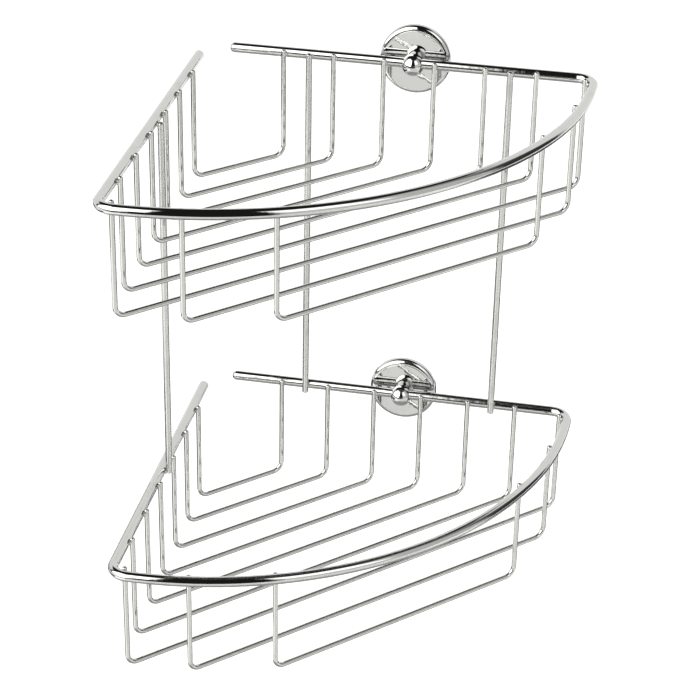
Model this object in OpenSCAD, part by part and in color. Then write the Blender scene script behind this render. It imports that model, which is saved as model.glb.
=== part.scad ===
// Two-tier corner shower caddy: two welded wire baskets on three hanger rods.
// Each basket's right rail runs through the ball of a post on a round wall flange,
// and each flange covers a small bracket screwed to the wall.
// Origin: centre of the upper bracket's wall face. +Y runs into the wall that
// carries the mounts, +X along that wall away from the corner, +Z up.

/* [Tiers] */
// vertical distance between the two rims
tier_gap = 290; // [240:1:340]
// depth from rim centre to floor wire centre
basket_depth = 83; // [60:1:110]
// diameter of the rim rod
rim_d = 7.8; // [6.5:0.1:8]
// diameter of the basket wires
wire_d = 3.8; // [3:0.1:4.2]
// how deep a weld sinks one rod into the other
weld_sink = 0.3; // [0.15:0.05:0.4]

/* [Rim outline] */
// radius of the front arc, measured to the rod's centre
front_r = 285.5; // [280:0.5:290]
// centre radius of the tight corner at each end of the arc
corner_r = 13; // [12:0.5:18]
// distance from the corner of the walls' rail lines to each rail's end
rail_start = 19; // [10:0.5:30]

/* [Floor wires] */
// distance of wire 1 from the corner, measured along the diagonal's x
first_wire = 33.8; // [31:0.1:36]
// step between wires 1 to 6, measured along the diagonal's x
wire_step = 19.35; // [18:0.05:20]
// step of the three front wires, measured along the diagonal's x
front_step = 21.8; // [20:0.1:23]
// centre radius of the bend between a leg and the floor
bend_r = 8; // [6:0.5:12]
// height of the tips of wires 1 to 7 above the rim's centre
leg_rise = 4; // [0.5:0.1:4.4]
// height of the tips of the two front wires above the rim's centre
front_leg_rise = 1.8; // [0.5:0.1:3.6]

/* [Hanger rods] */
// diameter of the hanger rods
rod_d = 5; // [4:0.1:6]
// distance of the left rod from the corner along its rail
left_rod_at = 155; // [148:0.5:170]
// distance of the inner right rod from the corner along its rail
middle_rod_at = 82; // [72:0.5:90]
// distance of the outer right rod from the corner along its rail
right_rod_at = 236; // [227:0.5:246]
// height of the two right rods above the upper rim's centre
rod_rise = 3; // [1:0.1:5]
// how far the two right rods reach below the lower rim's centre
rod_tail = 5.5; // [4:0.5:12]
// height of the left rod above the upper rim's centre
left_rod_rise = 1; // [0.8:0.1:5]
// how far the left rod reaches below the lower rim's centre
left_rod_tail = 2.6; // [2:0.1:12]

/* [Wall mounts] */
// distance of the mounts from the corner along the right rail
mount_at = 161; // [156:0.5:164]
// distance from the wall to the rail's centre
stand_off = 14.8; // [14.7:0.1:16]
// diameter of the ball that carries the rail
ball_d = 17.2; // [14:0.1:17.5]
// how far the ball's centre sits below the rail's centre
ball_drop = 1.4; // [0:0.1:2]
// radial room between the rail and the ball's bore
bore_gap = 0.08; // [0.05:0.01:0.1]
// diameter of the neck between ball and flange
neck_d = 8.5; // [7:0.5:10]
// outer diameter of the wall flange
flange_d = 54.6; // [50:0.1:58]
// depth of the wall flange
flange_h = 6; // [6:0.1:6.1]
// radius of the flange's rounded front edge
flange_edge = 3.4; // [2:0.1:3.6]
// width of the stepped ring on the flange's face
flange_ring = 0.6; // [0.3:0.1:4]
// depth of the step on the flange's face
ring_step = 0.4; // [0.3:0.1:0.7]
// diameter of the hidden wall bracket
bracket_d = 42; // [38:0.5:44]
// thickness of the hidden wall bracket
bracket_t = 3.2; // [3:0.1:3.4]
// distance between the bracket's two screw holes
hole_spacing = 25; // [23:0.5:27]
// diameter of the bracket's screw holes
hole_d = 4.5; // [4:0.1:5]

/* [Hidden] */
$fn = 96;

rim_r = rim_d / 2;
wire_r = wire_d / 2;
rod_r = rod_d / 2;
ball_r = ball_d / 2;
neck_r = neck_d / 2;
flange_r = flange_d / 2;
bracket_r = bracket_d / 2;
// plan position of the corner where the two rail lines meet
rail_x = -mount_at;
rail_y = -stand_off;
upper_z = ball_drop;
lower_z = ball_drop - tier_gap;
// rim outline: each tight corner is a quarter turn that meets the quarter-turn front arc
corner_along = front_r;
// legs stand on the inner side of the rim
leg_in = rim_r + wire_r - weld_sink;
rod_in = rim_r + rod_r - weld_sink;
// diagonal wires: centre of each wire, and half its span along x
function fine(v) = round(v * 1000) / 1000;
function centre_at(i) = i < 7 ? first_wire + (i - 1) * wire_step
  : corner_mid + (i - 7) * front_step;
corner_leg = corner_r - leg_in;
corner_turn = 23;
corner_x = corner_along + corner_leg * cos(corner_turn);
corner_y = -corner_r + corner_leg * sin(corner_turn);
corner_mid = (corner_x - corner_y) / 2;
function half_at(i) = i < 7 ? centre_at(i) - leg_in
  : i == 7 ? (corner_x + corner_y) / 2
  : sqrt(pow(front_r - leg_in, 2) / 2 - pow(centre_at(i) - corner_r, 2));
// mount stack, measured along -Y from the wall
face_y = -flange_h;
ball_y = -stand_off;
cavity_h = flange_h - 1.8;
flange_wall = 2.2;
nut_h = 2.2;
nut_r = 4.5;
stud_r = 2.5;
stud_hole_r = 2.55;
screw_r = 1.5;
rail_screw_r = 2;
hex_r = 0.9;
thread_room = 0.03;
tip_gap = 0.05;
hub_gap = 0.4;

chrome = [0.80, 0.81, 0.82];
steel = [0.62, 0.63, 0.65];

// a straight rod of radius r from the origin along +Z, its far end domed
module domed_rod(r, l, dome) {
  rotate_extrude()
    intersection() {
      union() {
        square([r, l - dome]);
        translate([0, l - dome])
          intersection() {
            scale_dome(r, dome);
            square([r, dome]);
          }
      }
      square([r, l]);
    }
}

// quarter outline of a shallow dome: an arc of the circle through edge and tip
module scale_dome(r, dome) {
  big = (r * r + dome * dome) / (2 * dome);
  translate([0, dome - big])
    circle(r = big);
}

// a quarter-turn style bend: rod of radius r swept about +Z at radius c
module bend(r, c, turn) {
  rotate_extrude(angle = turn)
    translate([c, 0])
      circle(r = r);
}

// one straight rail with its tight corner, along +X from its rounded end
module rail_half() {
  translate([corner_along, 0, 0])
    rotate([0, -90, 0])
      domed_rod(rim_r, corner_along - rail_start, rim_r * 0.8);
  translate([corner_along, -corner_r, 0])
    bend(rim_r, corner_r, 90);
}

module rim() {
  rail_half();
  mirror([1, 1, 0])
    rail_half();
  translate([corner_r, -corner_r, 0])
    rotate([0, 0, -90])
      bend(rim_r, front_r, 90);
}

// U-shaped basket wire number i, drawn about its own middle
module u_wire(i) {
  mid = fine(centre_at(i));
  half = fine(half_at(i) * sqrt(2));
  leg = basket_depth - bend_r + (i < 8 ? leg_rise : front_leg_rise);
  translate([mid, -mid, -basket_depth])
    rotate([0, 0, 45]) {
      translate([-(half - bend_r), 0, 0])
        rotate([0, 90, 0])
          cylinder(r = wire_r, h = 2 * (half - bend_r));
      wire_end(half, leg);
      mirror([1, 0, 0])
        wire_end(half, leg);
    }
}

module wire_end(half, leg) {
  translate([half - bend_r, 0, bend_r])
    rotate([90, 0, 0])
      rotate([0, 0, -90])
        bend(wire_r, bend_r, 90);
  translate([half, 0, bend_r])
    domed_rod(wire_r, leg, wire_r * 0.6);
}

module upper(i) {
  translate([rail_x, rail_y, upper_z])
    u_wire(i);
}

module lower(i) {
  translate([rail_x, rail_y, lower_z])
    u_wire(i);
}

// a hanger rod domed at both ends
module hanger(x, y, rise, tail) {
  long = tier_gap + rise + tail;
  translate([rail_x + x, rail_y + y, lower_z - tail + long / 2]) {
    domed_rod(rod_r, long / 2, rod_r * 0.5);
    mirror([0, 0, 1])
      domed_rod(rod_r, long / 2, rod_r * 0.5);
  }
}

// turns a shape drawn along +Z so that it points away from the wall
module off_wall() {
  rotate([90, 0, 0])
    children();
}

// flange: a shallow hollow cup with a rounded edge and a stepped face
module flange(z) {
  inner = flange_r - flange_edge - flange_ring;
  translate([0, 0, z])
    difference() {
      off_wall()
        rotate_extrude()
          difference() {
            union() {
              square([flange_r, flange_h - ring_step - flange_edge]);
              square([flange_r - flange_edge, flange_h - ring_step]);
              translate([flange_r - flange_edge, flange_h - ring_step - flange_edge])
                intersection() {
                  circle(r = flange_edge);
                  square([flange_edge, flange_edge]);
                }
              square([inner, flange_h]);
            }
            translate([-1, -1])
              square([flange_r - flange_wall, cavity_h + 1]);
            translate([-1, -1])
              square([stud_hole_r + 1, flange_h + 2]);
          }
      translate([0, -bracket_t / 2, -flange_r - 1])
        cylinder(r = screw_r, h = 5);
    }
}

// ball bored through for the rail, with a neck and a stud through the flange
module ball_post(z) {
  translate([0, 0, z])
    difference() {
      union() {
        translate([0, ball_y, 0])
          sphere(r = ball_r);
        translate([0, face_y, 0])
          off_wall()
            cylinder(r = neck_r, h = stand_off - flange_h);
        translate([0, -bracket_t - 0.3, 0])
          off_wall()
            cylinder(r = stud_r, h = flange_h - bracket_t);
      }
      translate([-ball_r - 1, ball_y, ball_drop])
        rotate([0, 90, 0])
          cylinder(r = rim_r + bore_gap, h = ball_d + 2);
      translate([0, ball_y, -ball_r - 1])
        cylinder(r = rail_screw_r, h = ball_r + 1);
    }
}

// hexagon nut that holds the post inside the flange
module post_nut(z) {
  translate([0, -cavity_h + nut_h, z])
    off_wall()
      difference() {
        cylinder(r = nut_r, h = nut_h, $fn = 6);
        translate([0, 0, -1])
          cylinder(r = stud_r - 0.02, h = nut_h + 2);
      }
}

// wall bracket: a round plate with two screw holes and a hub hole that carries the nut
module bracket(z) {
  translate([0, 0, z])
    off_wall()
      difference() {
        cylinder(r = bracket_r, h = bracket_t);
        translate([0, 0, -1])
          cylinder(r = nut_r + hub_gap, h = bracket_t + 2);
        for (side = [-1, 1])
          translate([side * hole_spacing / 2, 0, -1])
            cylinder(r = hole_d / 2, h = bracket_t + 2);
      }
}

// small socket set screw along +Z, its socket at the bottom
module set_screw(r, l) {
  difference() {
    rotate_extrude()
      polygon([[0, 0], [r - 0.3, 0], [r, 0.3], [r, l - 0.5], [r - 0.5, l], [0, l]]);
    translate([0, 0, -1])
      cylinder(r = hex_r, h = l * 0.45 + 1, $fn = 6);
  }
}

module flange_screw(z) {
  reach = flange_r - bracket_r - tip_gap;
  translate([0, -bracket_t / 2, z - flange_r + 0.2])
    set_screw(screw_r - thread_room, reach - 0.2);
}

module rail_screw(z) {
  translate([0, ball_y, z - ball_r + 1.4])
    set_screw(rail_screw_r - thread_room, ball_r - 1.4 + ball_drop - rim_r - tip_gap);
}

module upper_rim() { color(chrome) translate([rail_x, rail_y, upper_z]) rim(); }
module lower_rim() { color(chrome) translate([rail_x, rail_y, lower_z]) rim(); }
module upper_wire_1() { color(chrome) upper(1); }
module upper_wire_2() { color(chrome) upper(2); }
module upper_wire_3() { color(chrome) upper(3); }
module upper_wire_4() { color(chrome) upper(4); }
module upper_wire_5() { color(chrome) upper(5); }
module upper_wire_6() { color(chrome) upper(6); }
module upper_wire_7() { color(chrome) upper(7); }
module upper_wire_8() { color(chrome) upper(8); }
module upper_wire_9() { color(chrome) upper(9); }
module lower_wire_1() { color(chrome) lower(1); }
module lower_wire_2() { color(chrome) lower(2); }
module lower_wire_3() { color(chrome) lower(3); }
module lower_wire_4() { color(chrome) lower(4); }
module lower_wire_5() { color(chrome) lower(5); }
module lower_wire_6() { color(chrome) lower(6); }
module lower_wire_7() { color(chrome) lower(7); }
module lower_wire_8() { color(chrome) lower(8); }
module lower_wire_9() { color(chrome) lower(9); }
module hanger_rod_left() { color(chrome) hanger(rod_in, -left_rod_at, left_rod_rise, left_rod_tail); }
module hanger_rod_middle() { color(chrome) hanger(middle_rod_at, -rod_in, rod_rise, rod_tail); }
module hanger_rod_right() { color(chrome) hanger(right_rod_at, -rod_in, rod_rise, rod_tail); }
module upper_flange() { color(chrome) flange(0); }
module upper_ball_post() { color(chrome) ball_post(0); }
module upper_post_nut() { color(steel) post_nut(0); }
module upper_bracket() { color(steel) bracket(0); }
module upper_flange_screw() { color(steel) flange_screw(0); }
module upper_rail_screw() { color(steel) rail_screw(0); }
module lower_flange() { color(chrome) flange(-tier_gap); }
module lower_ball_post() { color(chrome) ball_post(-tier_gap); }
module lower_post_nut() { color(steel) post_nut(-tier_gap); }
module lower_bracket() { color(steel) bracket(-tier_gap); }
module lower_flange_screw() { color(steel) flange_screw(-tier_gap); }
module lower_rail_screw() { color(steel) rail_screw(-tier_gap); }

upper_rim();
upper_wire_1();
upper_wire_2();
upper_wire_3();
upper_wire_4();
upper_wire_5();
upper_wire_6();
upper_wire_7();
upper_wire_8();
upper_wire_9();
lower_rim();
lower_wire_1();
lower_wire_2();
lower_wire_3();
lower_wire_4();
lower_wire_5();
lower_wire_6();
lower_wire_7();
lower_wire_8();
lower_wire_9();
hanger_rod_left();
hanger_rod_middle();
hanger_rod_right();
upper_flange();
upper_ball_post();
upper_post_nut();
upper_bracket();
upper_flange_screw();
upper_rail_screw();
lower_flange();
lower_ball_post();
lower_post_nut();
lower_bracket();
lower_flange_screw();
lower_rail_screw();
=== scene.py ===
import math

import bmesh
import bpy
from mathutils import Matrix, Vector
from mathutils.bvhtree import BVHTree


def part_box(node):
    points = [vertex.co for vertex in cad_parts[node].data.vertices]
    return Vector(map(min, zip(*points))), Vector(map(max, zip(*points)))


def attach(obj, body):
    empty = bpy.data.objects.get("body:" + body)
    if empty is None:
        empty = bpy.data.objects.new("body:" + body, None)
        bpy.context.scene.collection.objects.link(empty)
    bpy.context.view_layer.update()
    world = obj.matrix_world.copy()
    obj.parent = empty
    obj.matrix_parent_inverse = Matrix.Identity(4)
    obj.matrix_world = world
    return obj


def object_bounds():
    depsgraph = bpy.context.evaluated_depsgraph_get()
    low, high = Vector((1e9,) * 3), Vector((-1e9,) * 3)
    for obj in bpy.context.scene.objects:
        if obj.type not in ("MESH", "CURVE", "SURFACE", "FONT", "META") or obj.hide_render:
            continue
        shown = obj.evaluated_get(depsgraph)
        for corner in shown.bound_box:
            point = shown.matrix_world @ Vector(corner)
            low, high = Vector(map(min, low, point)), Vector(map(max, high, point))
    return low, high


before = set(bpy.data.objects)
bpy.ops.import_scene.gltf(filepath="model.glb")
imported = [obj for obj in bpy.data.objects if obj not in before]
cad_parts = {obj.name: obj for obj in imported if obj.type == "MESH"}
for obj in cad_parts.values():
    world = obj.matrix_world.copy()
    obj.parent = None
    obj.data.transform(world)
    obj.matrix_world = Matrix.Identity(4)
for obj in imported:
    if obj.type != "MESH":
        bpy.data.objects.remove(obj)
CAD_LO, CAD_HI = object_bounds()
MM = 0.001  # lengths are in metres
RAD_TO_DEG = math.degrees(1)
UP = Vector((0, 0, 1))
scene = bpy.context.scene
scene.view_settings.view_transform = "Standard"
scene.view_settings.look = "None"


# ---------------------------------------------------------------- camera

CAMERA_AT = (0.23332, -1.54487, 0.61557)
CAMERA_TURN = (-10.312, 29.131, 1.283)  # compass angle, downward pitch and roll in degrees
SENSOR_WIDTH = 36.0
LENS = 112.777
CLIP_NEAR, CLIP_FAR = 0.05, 30.0


def place_camera():
    data = bpy.data.cameras.new("camera")
    data.sensor_width = SENSOR_WIDTH
    data.lens = LENS
    data.clip_start = CLIP_NEAR
    data.clip_end = CLIP_FAR
    cam = bpy.data.objects.new("camera", data)
    scene.collection.objects.link(cam)
    azimuth, pitch, roll = (math.radians(v) for v in CAMERA_TURN)
    ahead = Vector((math.sin(azimuth) * math.cos(pitch),
                    math.cos(azimuth) * math.cos(pitch), -math.sin(pitch)))
    level = Vector((math.cos(azimuth), -math.sin(azimuth), 0.0))
    above = level.cross(ahead)
    right = level * math.cos(roll) + above * math.sin(roll)
    up = above * math.cos(roll) - level * math.sin(roll)
    turn = Matrix((right, up, -ahead)).transposed().to_4x4()
    cam.matrix_world = Matrix.Translation(CAMERA_AT) @ turn
    scene.camera = cam


# ---------------------------------------------------------------- node helpers

def fresh_tree(owner):
    """Empty node tree of a material or a world."""
    owner.use_nodes = True
    owner.node_tree.nodes.clear()
    return owner.node_tree


def add(t, kind, **values):
    node = t.nodes.new(kind)
    for key, value in values.items():
        setattr(node, key, value)
    return node


def fill(node, **values):
    """Sets a node's inputs by name; an underscore stands for a space."""
    for key, value in values.items():
        node.inputs[key.replace("_", " ")].default_value = value
    return node


def link(t, source, socket):
    t.links.new(source, socket)


def ramp(t, source, lo, hi, a=0.0, b=1.0):
    """Smooth step from a, where the source is lo, to b, where it is hi."""
    node = add(t, "ShaderNodeMapRange", interpolation_type="SMOOTHSTEP")
    fill(node, From_Min=lo, From_Max=hi, To_Min=a, To_Max=b)
    link(t, source, node.inputs["Value"])
    return node.outputs["Result"]


def fall(t, source, lo, hi):
    """1 below lo, fading to 0 at hi."""
    return ramp(t, source, lo, hi, 1.0, 0.0)


def chain(t, operation, result, *others):
    """One operation along a row of sockets or numbers."""
    for other in others:
        node = add(t, "ShaderNodeMath", operation=operation)
        for socket, value in zip(node.inputs, (result, other)):
            if isinstance(value, (int, float)):
                socket.default_value = value
            else:
                link(t, value, socket)
        result = node.outputs[0]
    return result


def gate(t, source, a, b, c, d):
    """1 between b and c, fading to 0 at a and d."""
    return chain(t, "MULTIPLY", ramp(t, source, a, b), fall(t, source, c, d))


def line(t, source, slope, height):
    return chain(t, "ADD", chain(t, "MULTIPLY", source, slope), height)


def compass(t, east, north):
    """Compass angle in degrees of a direction or a place."""
    return chain(t, "MULTIPLY", chain(t, "ARCTAN2", east, north), RAD_TO_DEG)


def split(t, place):
    parts = add(t, "ShaderNodeSeparateXYZ")
    link(t, place, parts.inputs[0])
    return parts.outputs


# ---------------------------------------------------------------- surroundings

# Compass angles in degrees: 0 into the wall, 90 to the right, 180 to the front. A light
# fades in between the first two and out between the last two.
BACKDROP = (-88, -74, 48, 56)
OPENING = (48, 56, 78, 86)
GREY_WALL = (78, 86, 110, 118)
RIGHT_PANEL = (110, 118, 147, 153)

# Every other edge is a component of the unit vector that points to it.
BACKDROP_EDGE_LEFT = (0.10, 0.675)  # slope against x and height at x = 0
BACKDROP_EDGE_RIGHT = (0.40, 0.62)
BACKDROP_EDGE_TOP = 0.76
BACKDROP_FADE = 0.05
LEFT_PANEL_BACK = (-0.12, 0.02)
LEFT_PANEL_BOTTOM = (-0.02, 0.06)
LEFT_PANEL_FOOT = (-0.24, -0.18)  # inner edge below the step
LEFT_PANEL_SIDE = (-0.15, -0.085)  # inner edge above the step
LEFT_PANEL_STEP = (0.22, 0.42)
LEFT_PANEL_TOP = (0.86, 0.95)
RIGHT_PANEL_RISE = (0.22, 0.48)
ROOM_TOP = (0.80, 0.92)
OPENING_RISE = (0.42, 0.72)

LEFT_PANEL_STRENGTH = 3.2
RIGHT_PANEL_STRENGTH = (0.75, 1.9)  # below and above the rise
GREY_WALL_STRENGTH = 0.66
OPENING_STRENGTH = (0.035, 0.26)
DARK_STRENGTH = 0.015
SKY_COLOUR = (1.0, 1.0, 0.985, 1)
WHITE = (1, 1, 1, 1)


def backdrop(t, x, z, angle):
    """White; its upper edge climbs slowly, then steeply to the right, then runs level."""
    edge = chain(t, "MAXIMUM", line(t, x, *BACKDROP_EDGE_RIGHT), line(t, x, *BACKDROP_EDGE_LEFT))
    edge = chain(t, "MINIMUM", edge, BACKDROP_EDGE_TOP)
    over = chain(t, "SUBTRACT", z, edge)
    return chain(t, "MULTIPLY", gate(t, angle, *BACKDROP),
                 fall(t, over, -BACKDROP_FADE, BACKDROP_FADE))


def left_panel(t, x, y, z):
    """White; its inner edge steps inward well above the horizon."""
    step = chain(t, "MULTIPLY", fall(t, x, *LEFT_PANEL_SIDE), ramp(t, z, *LEFT_PANEL_STEP))
    inner = chain(t, "MAXIMUM", step, fall(t, x, *LEFT_PANEL_FOOT))
    return chain(t, "MULTIPLY", inner, fall(t, z, *LEFT_PANEL_TOP),
                 fall(t, y, *LEFT_PANEL_BACK), ramp(t, z, *LEFT_PANEL_BOTTOM),
                 LEFT_PANEL_STRENGTH)


def right_panel(t, z, angle):
    """White, brighter higher up."""
    return chain(t, "MULTIPLY", gate(t, angle, *RIGHT_PANEL),
                 ramp(t, z, *RIGHT_PANEL_RISE, *RIGHT_PANEL_STRENGTH), fall(t, z, *ROOM_TOP))


def right_side(t, z, angle):
    """Grey wall, and the dark opening between it and the backdrop."""
    wall = chain(t, "MULTIPLY", gate(t, angle, *GREY_WALL), GREY_WALL_STRENGTH)
    opening = chain(t, "MULTIPLY", gate(t, angle, *OPENING),
                    ramp(t, z, *OPENING_RISE, *OPENING_STRENGTH))
    return chain(t, "MULTIPLY", chain(t, "ADD", wall, opening), fall(t, z, *ROOM_TOP))


def studio_world():
    """Light of the studio by direction, as reflections see it. The camera sees plain white."""
    world = bpy.data.worlds.new("studio")
    scene.world = world
    t = fresh_tree(world)
    x, y, z = split(t, add(t, "ShaderNodeTexCoord").outputs["Generated"])
    angle = compass(t, x, y)
    light = chain(t, "ADD", backdrop(t, x, z, angle), left_panel(t, x, y, z),
                  right_panel(t, z, angle), right_side(t, z, angle), DARK_STRENGTH)
    sky = fill(add(t, "ShaderNodeBackground"), Color=SKY_COLOUR)
    link(t, light, sky.inputs["Strength"])
    plain = fill(add(t, "ShaderNodeBackground"), Color=WHITE, Strength=1.0)
    pick = add(t, "ShaderNodeMixShader")
    link(t, add(t, "ShaderNodeLightPath").outputs["Is Camera Ray"], pick.inputs[0])
    link(t, sky.outputs[0], pick.inputs[1])
    link(t, plain.outputs[0], pick.inputs[2])
    link(t, pick.outputs[0], add(t, "ShaderNodeOutputWorld").inputs[0])


# ---------------------------------------------------------------- floor, cards and lamp

FLOOR_GAP = 0.55  # from the caddy's lowest point down to the floor
FLOOR_BOUNDS = (-14.0, -3.0, 3.6, 14.0)  # left, near, right, far
FLOOR_GLOW = 0.78
FLOOR_GLOW_COLOUR = (1.0, 1.0, 0.99, 1)
FLOOR_GREY = (0.45, 0.45, 0.45, 1)
CARD_BLACK = (0.015, 0.015, 0.014, 1)

# Sheets over the floor, seen only in reflections, lie one above the other. Their glow is painted
# shade and painted light on the floor.
SHEET_STEP = 0.01
SHEET_CENTRE = (-0.02, -0.08)
POOL_HALF = 1.1
POOL_EDGE = (0.45, 0.92)
POOL_STRENGTH = 0.42
POOL_COLOUR = (1.0, 1.0, 0.98, 1)
SECTOR_HALF = 2.6
SECTOR_COLOUR = (1.0, 1.0, 0.97, 1)
NEAR_LEGS = (0.72, 0.86, 2.1, 2.4)  # distances on the floor that the legs mirror
NEAR_MOUNTS = (0.72, 0.86, 2.2, 2.5)  # the same for the flanges
SECTORS = (  # name, compass angles on the sheet, distances, strength, cover, sheet's turn
    # Darker stretches of floor: painted shade, seen only in reflections.
    ("shade_right", (14, 24, 78, 90), NEAR_LEGS, 0.06, 0.95, 0.0),
    ("shade_left", (-82, -66, -24, -12), NEAR_LEGS, 0.08, 0.85, 0.0),
    # A brighter stretch of floor: painted light, seen only in reflections.
    ("painted_light_front", (-168, -154, -124, -108), NEAR_LEGS, 1.62, 1.0, 0.0),
    # A slightly darker stretch of floor: painted shade, seen only in reflections.
    ("painted_shade_front", (-80, -60, 14, 24), NEAR_MOUNTS, 1.02, 1.0, 180.0),
)

LEFT_CARD = [(-0.80, -0.55), (-0.85, 0.35), (-0.74, 0.60)]
LOW_CARD_TOP = -0.56
HIGH_CARD = (-0.36, -0.24)


def floor_material():
    m = bpy.data.materials.new("pale_floor")
    t = fresh_tree(m)
    glow = fill(add(t, "ShaderNodeEmission"), Color=FLOOR_GLOW_COLOUR, Strength=FLOOR_GLOW)
    body = fill(add(t, "ShaderNodeBsdfDiffuse"), Color=FLOOR_GREY)
    both = add(t, "ShaderNodeAddShader")
    link(t, glow.outputs[0], both.inputs[0])
    link(t, body.outputs[0], both.inputs[1])
    link(t, both.outputs[0], add(t, "ShaderNodeOutputMaterial").inputs[0])
    return m


def card_material():
    m = bpy.data.materials.new("black_card")
    t = fresh_tree(m)
    body = fill(add(t, "ShaderNodeBsdfDiffuse"), Color=CARD_BLACK)
    link(t, body.outputs[0], add(t, "ShaderNodeOutputMaterial").inputs[0])
    return m


def stage_mesh(name, verts, faces, material):
    mesh = bpy.data.meshes.new(name)
    mesh.from_pydata(verts, [], faces)
    mesh.materials.append(material)
    obj = bpy.data.objects.new(name, mesh)
    scene.collection.objects.link(obj)
    return obj


def reflections_only(obj):
    obj.visible_camera = False
    obj.visible_diffuse = False
    obj.visible_shadow = False


def mirrored_sheet(name, z, half, colour, strength, mask, turn=0.0):
    """Evenly glowing sheet over the floor, whose glow is painted shade and painted light in
    reflections; mask gives its cover from a place on it.
    """
    m = bpy.data.materials.new(name)
    t = fresh_tree(m)
    clear = add(t, "ShaderNodeBsdfTransparent")
    glow = fill(add(t, "ShaderNodeEmission"), Color=colour, Strength=strength)
    mix = add(t, "ShaderNodeMixShader")
    link(t, mask(t, add(t, "ShaderNodeTexCoord").outputs["Object"]), mix.inputs[0])
    link(t, clear.outputs[0], mix.inputs[1])
    link(t, glow.outputs[0], mix.inputs[2])
    link(t, mix.outputs[0], add(t, "ShaderNodeOutputMaterial").inputs[0])
    corners = [(-half, -half, 0), (half, -half, 0), (half, half, 0), (-half, half, 0)]
    sheet = stage_mesh(name, corners, [(0, 1, 2, 3)], m)
    sheet.location = (*SHEET_CENTRE, z)
    sheet.rotation_euler = (0.0, 0.0, math.radians(turn))
    reflections_only(sheet)


def distance(t, place):
    span = add(t, "ShaderNodeVectorMath", operation="LENGTH")
    link(t, place, span.inputs[0])
    return span.outputs["Value"]


def shade_pool(z):
    """The floor's own soft shade under the caddy."""
    def mask(t, place):
        return fall(t, distance(t, place), *POOL_EDGE)
    mirrored_sheet("shade_pool", z, POOL_HALF, POOL_COLOUR, POOL_STRENGTH, mask)


def floor_sector(z, name, angles, reach, strength, cover, turn):
    """Painted shade where it glows dimmer than the floor, painted light where it glows brighter:
    a stretch of floor in one direction, seen only in reflections.
    A turn of 180 degrees keeps one that crosses the front clear of the compass's seam there."""
    def mask(t, place):
        x, y, _ = split(t, place)
        return chain(t, "MULTIPLY", gate(t, compass(t, x, y), *angles),
                     gate(t, distance(t, place), *reach), cover)
    mirrored_sheet(name, z, SECTOR_HALF, SECTOR_COLOUR, strength, mask, turn)


def black_card(name, low, high):
    """Upright dark card left of the caddy, seen only in reflections."""
    verts = [(x, y, z) for x, y in LEFT_CARD for z in (low, high)]
    faces = [(2 * i, 2 * i + 2, 2 * i + 3, 2 * i + 1) for i in range(len(LEFT_CARD) - 1)]
    reflections_only(stage_mesh(name, verts, faces, card_material()))


def soft_light(name, at, to, size, power):
    data = bpy.data.lights.new(name, "AREA")
    data.shape = "DISK"
    data.size = size
    data.energy = power
    obj = bpy.data.objects.new(name, data)
    obj.location = at
    obj.rotation_euler = (Vector(to) - Vector(at)).to_track_quat("-Z", "Y").to_euler()
    obj.visible_camera = False
    obj.visible_glossy = False
    scene.collection.objects.link(obj)


def build_studio():
    studio_world()
    left, near, right, far = FLOOR_BOUNDS
    z = CAD_LO.z - FLOOR_GAP
    corners = [(left, near, z), (right, near, z), (right, far, z), (left, far, z)]
    stage_mesh("floor", corners, [(0, 1, 2, 3)], floor_material())
    shade_pool(z + SHEET_STEP)
    for layer, sector in enumerate(SECTORS, start=2):
        floor_sector(z + layer * SHEET_STEP, *sector)
    black_card("left_card_low", z + 2 * SHEET_STEP, LOW_CARD_TOP)
    black_card("left_card_high", *HIGH_CARD)
    soft_light("overhead", at=(0.3, -0.6, 2.4), to=(0.0, -0.1, -0.2), size=1.6, power=28)


# ---------------------------------------------------------------- materials

LOOKS = {  # colour, roughness where clean and where marked, waviness of the plate
    "rim_chrome": ((0.61, 0.61, 0.60), (0.02, 0.07), 0.08),
    "wire_chrome": ((0.58, 0.58, 0.565), (0.05, 0.14), 0.16),
    "rod_chrome": ((0.60, 0.60, 0.585), (0.26, 0.34), 0.05),
    "mount_chrome": ((0.62, 0.62, 0.61), (0.02, 0.07), 0.05),
    "fixing_steel": ((0.42, 0.42, 0.43), (0.25, 0.42), 0.2),
}
MARKS_NOISE = {"Scale": 55.0, "Detail": 6.0, "Roughness": 0.62}
WAVES_NOISE = {"Scale": 120.0, "Detail": 2.0}
SPOTS_SCALE = 190.0
MARKS_SHOW = (0.42, 0.72)  # noise values between which a water mark fades in
SPOTS_SHOW = (0.06, 0.22)  # distances from a spot's centre between which it fades out
SPOTS_WEIGHT = 0.5
DULL_FROM, DARK_FROM, MARKED = 0.0, 0.2, 1.3  # summed marks where gloss and tone change
MARKS_DARKEN = 0.088
WAVE_HEIGHT = 0.6 * MM


def noise(t, place, values):
    node = fill(add(t, "ShaderNodeTexNoise"), **values)
    link(t, place, node.inputs["Vector"])
    return node.outputs["Fac"]


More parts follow.
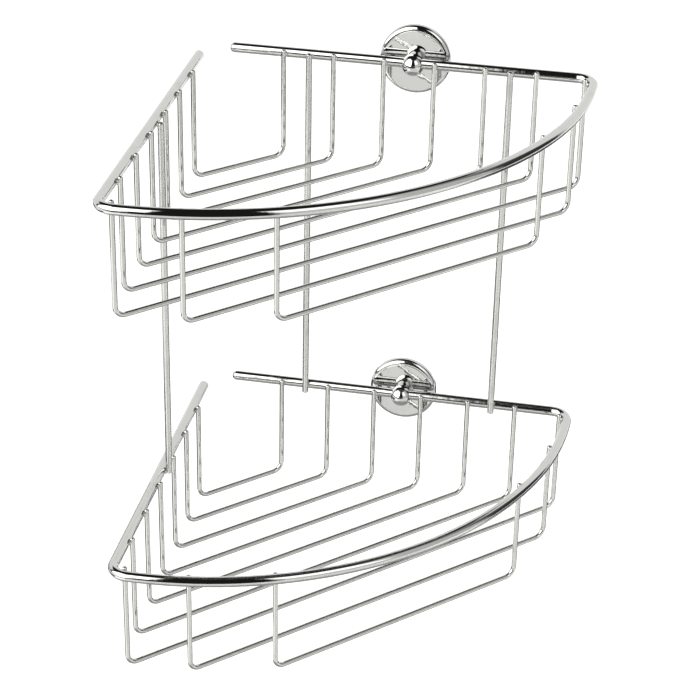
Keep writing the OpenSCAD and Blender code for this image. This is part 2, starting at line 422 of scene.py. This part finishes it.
def metal(name, colour, rough, waviness):
    """Bright plated metal: faint water marks in gloss and tone, and a slightly wavy plate."""
    m = bpy.data.materials.new(name)
    m.use_nodes = True
    t = m.node_tree
    body = fill(t.nodes["Principled BSDF"], Metallic=1.0)
    place = add(t, "ShaderNodeTexCoord").outputs["Object"]
    spots = fill(add(t, "ShaderNodeTexVoronoi"), Scale=SPOTS_SCALE)
    link(t, place, spots.inputs["Vector"])
    marks = chain(t, "ADD", ramp(t, noise(t, place, MARKS_NOISE), *MARKS_SHOW),
                  ramp(t, spots.outputs["Distance"], *SPOTS_SHOW, SPOTS_WEIGHT, 0.0))
    link(t, ramp(t, marks, DULL_FROM, MARKED, *rough), body.inputs["Roughness"])
    darker = [c * (1 - MARKS_DARKEN) for c in colour]
    tone = fill(add(t, "ShaderNodeMix", data_type="RGBA"), A=(*colour, 1), B=(*darker, 1))
    link(t, ramp(t, marks, DARK_FROM, MARKED), tone.inputs["Factor"])
    link(t, tone.outputs["Result"], body.inputs["Base Color"])
    bump = fill(add(t, "ShaderNodeBump"), Strength=waviness, Distance=WAVE_HEIGHT)
    link(t, noise(t, place, WAVES_NOISE), bump.inputs["Height"])
    link(t, bump.outputs["Normal"], body.inputs["Normal"])
    return m


def slot_of(name):
    if name.endswith("_rim"):
        return "rim_chrome"
    if "_wire_" in name:
        return "wire_chrome"
    if name.startswith("hanger"):
        return "rod_chrome"
    if name.endswith(("_flange", "_ball_post")):
        return "mount_chrome"
    return "fixing_steel"


def dress():
    looks = {name: metal(name, *look) for name, look in LOOKS.items()}
    for name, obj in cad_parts.items():
        obj.data.materials.clear()
        obj.data.materials.append(looks[slot_of(name)])
    return looks


# ---------------------------------------------------------------- weld beads

WIRES = 9  # in each tier
WIRE_R = 1.9 * MM
# half sizes of a bead: along the rim at a wire and at a rod, away from the rim, and upright
WIRE_BEAD = 2.75 * MM
ROD_BEAD = 3.3 * MM
BEAD_OUT = 1.35 * MM
BEAD_TALL = 2.3 * MM
BEAD_SHIFT = 0.15 * MM  # off the rim
BEAD_DROP = 0.5 * MM
BEAD_VARY = 0.10
BEAD_TURN = 2.4  # radians from one bead's size to the next
BEAD_PHASE = {"upper": 0.7, "lower": 2.1}


def weld_spots(tier, mid):
    """Centre and bead size of every leg and rod that is welded to this tier's rim."""
    spots = []
    for i in range(1, WIRES + 1):
        lo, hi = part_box("%s_wire_%d" % (tier, i))
        spots.append((Vector((lo.x + WIRE_R, lo.y + WIRE_R, mid)), WIRE_BEAD))
        spots.append((Vector((hi.x - WIRE_R, hi.y - WIRE_R, mid)), WIRE_BEAD))
    for side in ("left", "middle", "right"):
        lo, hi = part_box("hanger_rod_" + side)
        spots.append((Vector(((lo.x + hi.x) / 2, (lo.y + hi.y) / 2, mid)), ROD_BEAD))
    return spots


def weld_beads(tier, look):
    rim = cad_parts[tier + "_rim"].data
    lo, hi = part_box(tier + "_rim")
    mid = (lo.z + hi.z) / 2
    tree = BVHTree.FromPolygons([v.co for v in rim.vertices],
                                [tuple(p.vertices) for p in rim.polygons])
    bm = bmesh.new()
    for i, (spot, size) in enumerate(weld_spots(tier, mid)):
        touch = tree.find_nearest(spot)[0]
        off = Vector((spot.x - touch.x, spot.y - touch.y, 0)).normalized()
        along = off.cross(UP)
        vary = 1.0 + BEAD_VARY * math.sin(BEAD_TURN * i + BEAD_PHASE[tier])
        axes = (along * size * vary, off * BEAD_OUT, UP * BEAD_TALL * (2.0 - vary))
        place = Matrix(axes).transposed().to_4x4()
        place.translation = touch + off * BEAD_SHIFT - UP * BEAD_DROP
        bmesh.ops.create_icosphere(bm, subdivisions=3, radius=1.0, matrix=place)
    bmesh.ops.recalc_face_normals(bm, faces=bm.faces)
    for face in bm.faces:
        face.smooth = True
    mesh = bpy.data.meshes.new(tier + "_weld_beads")
    bm.to_mesh(mesh)
    bm.free()
    mesh.materials.append(look)
    obj = bpy.data.objects.new(tier + "_weld_beads", mesh)
    scene.collection.objects.link(obj)
    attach(obj, "caddy")


build_studio()
looks = dress()
for tier in ("upper", "lower"):
    weld_beads(tier, looks["wire_chrome"])
place_camera()
